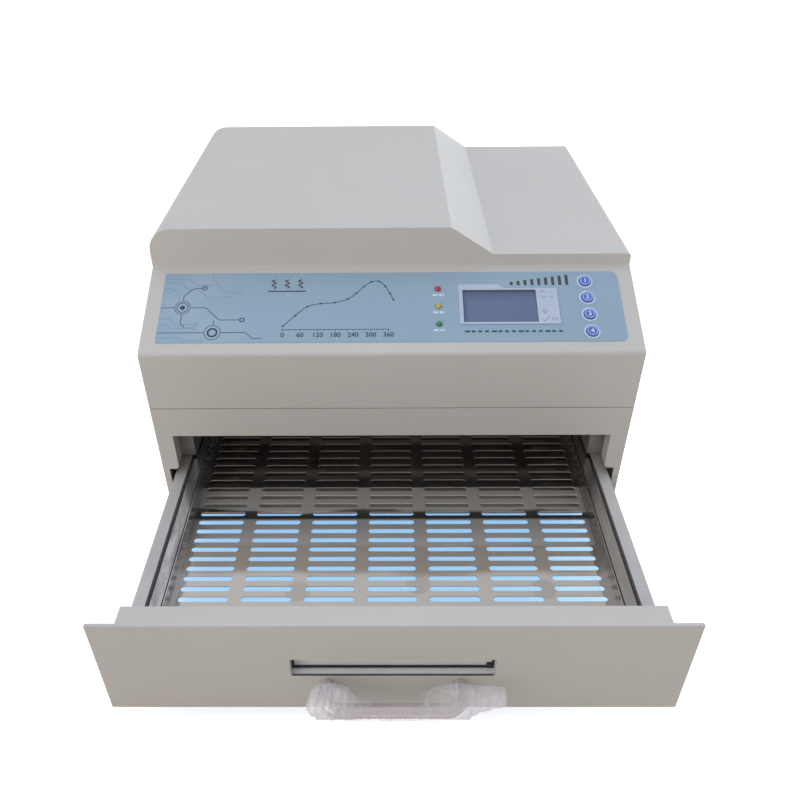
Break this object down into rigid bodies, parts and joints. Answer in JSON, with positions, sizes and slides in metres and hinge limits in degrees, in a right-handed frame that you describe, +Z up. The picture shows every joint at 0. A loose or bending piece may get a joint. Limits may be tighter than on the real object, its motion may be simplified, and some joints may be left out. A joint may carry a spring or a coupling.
{
  "type": "reflow oven",
  "caption": "Bench reflow oven with a sloping control panel, a raised heater hood and a pull-out drawer that carries a slotted steel tray.",
  "frame": {"origin": "middle of the footprint of the oven with its drawer pulled out, level with the undersides of the feet", "axes": "+X to the right as seen by the operator, +Y to the rear, +Z up; the drawer slides along Y"},
  "size_m": [0.424, 0.6017, 0.275],
  "materials": {
    "casing_paint": "warm light grey powder coat, fine texture",
    "stainless": "bright rolled stainless sheet",
    "zinc_steel": "zinc-plated steel sheet",
    "aluminised": "aluminised sheet",
    "dark_plastic": "moulded black plastic",
    "rubber": "moulded rubber",
    "seal_rubber": "silicone strip",
    "screw_steel": "nickel-plated steel",
    "label_print": "printed polycarbonate film",
    "bezel_print": "pale moulded surround",
    "display_glass": "grey-blue display window",
    "circuit_board": "solder-masked glass fibre",
    "lamp": "tinted epoxy lamps",
    "key_blue": "blue moulded key",
    "insulation": "ceramic fibre board",
    "quartz": "milky quartz tube",
    "filament": "resistance wire",
    "ceramic": "glazed steatite",
    "motor_black": "black lacquer",
    "winding": "taped winding and laminated core",
    "rocker_red": "red translucent rocker",
    "window_glass": "clear heat-resistant glass",
    "frame_metal": "pale enamelled frame",
    "handle_metal": "satin metal rod",
    "film": "thin clear protective film",
    "slide_steel": "bright zinc-plated slide steel"
  },
  "bodies": {
    "cabinet": {"base_shell": "casing_paint", "floor_plate": "casing_paint", "rear_panel": "casing_paint", "hood_shell": "casing_paint", "case_screws": "screw_steel", "feet": "rubber", "foot_screws": "screw_steel", "control_label": "label_print", "display_bezel": "bezel_print", "display_glass": "display_glass", "display_module": "dark_plastic", "front_board": "circuit_board", "status_leds": "lamp", "chamber_liner": "stainless", "chamber_hangers": "zinc_steel", "insulation_board": "insulation", "heat_shield": "aluminised", "heater_tubes": "quartz", "heater_filaments": "filament", "heater_sockets": "ceramic", "thermocouple": "stainless", "circulation_motor": "motor_black", "control_board": "circuit_board", "board_standoffs": "screw_steel", "transformer": "winding", "relay_heatsink": "aluminised", "exhaust_fan_frame": "dark_plastic", "exhaust_guard": "screw_steel", "cooling_fan_frame": "dark_plastic", "cooling_guard": "screw_steel", "fan_screws": "screw_steel", "mains_inlet": "dark_plastic", "switch_housing": "dark_plastic", "fuse_holder": "dark_plastic", "slide_brackets": "zinc_steel", "slide_outers": "slide_steel"},
    "drawer": {"slide_inners": "slide_steel", "drawer_front": "casing_paint", "drawer_back_plate": "stainless", "window_frame": "frame_metal", "window_seal": "seal_rubber", "window_glass": "window_glass", "inner_glass": "window_glass", "handle": "handle_metal", "handle_screws": "screw_steel", "handle_film": "film", "drawer_rails": "zinc_steel", "drawer_rear_bar": "zinc_steel", "tray_frame": "stainless", "tray": "stainless"},
    "slide_left": {"slide_mid_left": "slide_steel"},
    "slide_right": {"slide_mid_right": "slide_steel"},
    "key_1": {"key_1": "key_blue"},
    "key_2": {"key_2": "key_blue"},
    "key_3": {"key_3": "key_blue"},
    "key_4": {"key_4": "key_blue"},
    "rocker": {"power_rocker": "rocker_red"},
    "circulation_wheel": {"circulation_impeller": "stainless"},
    "exhaust_wheel": {"exhaust_rotor": "dark_plastic"},
    "cooling_wheel": {"cooling_rotor": "dark_plastic"}
  },
  "joints": [
    {"name": "drawer_slide", "type": "slide", "parent": "cabinet", "child": "drawer", "axis": [0, -1, 0], "range_m": [-0.1965, 0.063]},
    {"name": "left_slide", "type": "slide", "parent": "cabinet", "child": "slide_left", "axis": [0, -1, 0], "range_m": [-0.09825, 0.0315]},
    {"name": "right_slide", "type": "slide", "parent": "cabinet", "child": "slide_right", "axis": [0, -1, 0], "range_m": [-0.09825, 0.0315]},
    {"name": "key_1_press", "type": "slide", "parent": "cabinet", "child": "key_1", "axis": [0, 0.4512, -0.8924], "range_m": [0, 0.001], "stiffness_N_per_m": 300},
    {"name": "key_2_press", "type": "slide", "parent": "cabinet", "child": "key_2", "axis": [0, 0.4512, -0.8924], "range_m": [0, 0.001], "stiffness_N_per_m": 300},
    {"name": "key_3_press", "type": "slide", "parent": "cabinet", "child": "key_3", "axis": [0, 0.4512, -0.8924], "range_m": [0, 0.001], "stiffness_N_per_m": 300},
    {"name": "key_4_press", "type": "slide", "parent": "cabinet", "child": "key_4", "axis": [0, 0.4512, -0.8924], "range_m": [0, 0.001], "stiffness_N_per_m": 300},
    {"name": "rocker_tilt", "type": "hinge", "parent": "cabinet", "child": "rocker", "pos_m": [0.118, 0.28785, 0.119], "axis": [0, 0, 1], "range_deg": [0, 20]},
    {"name": "circulation_spin", "type": "hinge", "parent": "cabinet", "child": "circulation_wheel", "pos_m": [-0.07, 0.10385, 0.16], "axis": [0, 0, 1], "continuous": true},
    {"name": "exhaust_spin", "type": "hinge", "parent": "cabinet", "child": "exhaust_wheel", "pos_m": [-0.06, 0.27985, 0.116], "axis": [0, 1, 0], "continuous": true},
    {"name": "cooling_spin", "type": "hinge", "parent": "cabinet", "child": "cooling_wheel", "pos_m": [0.12, 0.27985, 0.218], "axis": [0, 1, 0], "continuous": true}
  ],
  "couplings": [
    {"joint": "left_slide", "follows": "drawer_slide", "ratio": 0.5},
    {"joint": "right_slide", "follows": "drawer_slide", "ratio": 0.5}
  ]
}
